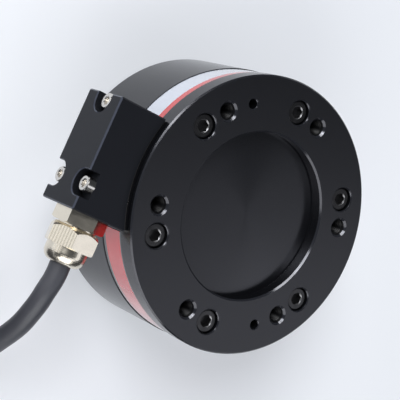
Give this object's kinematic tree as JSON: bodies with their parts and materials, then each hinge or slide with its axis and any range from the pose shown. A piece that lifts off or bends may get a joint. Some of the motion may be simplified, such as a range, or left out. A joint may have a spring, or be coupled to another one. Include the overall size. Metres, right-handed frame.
{
  "type": "force torque sensor",
  "caption": "Round six-axis force torque sensor with bolted mounting faces, a side connector box, a cable gland and a coiled cable that ends in a round plug.",
  "frame": {"origin": "centre of the measuring face, on the axis of the body", "axes": "+Z along the body's axis from the measuring face to the mounting face, +Y through a dowel hole of the mounting face, +X a quarter turn clockwise from it seen from the mounting face"},
  "size_m": [0.2583, 0.1392, 0.05],
  "materials": {
    "black_anodised": "black satin anodised, fine turned marks",
    "bare_alloy": "bare machined",
    "screw_steel": "bright stainless steel",
    "screw_black": "black oxide, lightly oiled, bright rim round the socket",
    "gauge_foil": "foil on amber film",
    "seal_rubber": "matt black",
    "board_green": "green solder mask",
    "chip_black": "moulded black",
    "socket_white": "moulded white",
    "nickel": "nickel plated, satin bright",
    "wire_jacket": "smooth",
    "box_anodised": "blue-black satin anodised",
    "label_film": "glossy printed film with silver, red and black fields",
    "claw_nylon": "moulded natural grey",
    "cable_jacket": "smooth satin jacket",
    "strap_webbing": "woven black hook and loop strap",
    "plug_black": "fine matt moulding",
    "pin_gold": "gold plated"
  },
  "bodies": {
    "root": {"housing": "black_anodised", "sensing_element": "bare_alloy", "measuring_flange": "black_anodised", "face_screws": "screw_black", "hub_screws": "screw_black", "strain_gauges": "gauge_foil", "overload_pins": "screw_steel", "flange_seal": "seal_rubber", "circuit_board": "board_green", "board_chips": "chip_black", "board_socket": "socket_white", "board_standoffs": "nickel", "board_screws": "screw_steel", "lead_bundle": "wire_jacket", "connector_box": "box_anodised", "box_gasket": "seal_rubber", "box_screws": "screw_steel", "label_band": "label_film", "gland_body": "nickel", "gland_washer": "seal_rubber", "gland_seal": "seal_rubber", "gland_claw": "claw_nylon", "gland_nut": "nickel", "cable_entry": "cable_jacket", "cable": "cable_jacket", "cable_coil": "cable_jacket", "cable_end": "cable_jacket", "coil_strap": "strap_webbing", "plug_grip": "plug_black", "plug_clamp": "plug_black", "plug_ring": "nickel", "plug_insert": "plug_black", "plug_pins": "pin_gold"}
  },
  "joints": []
}
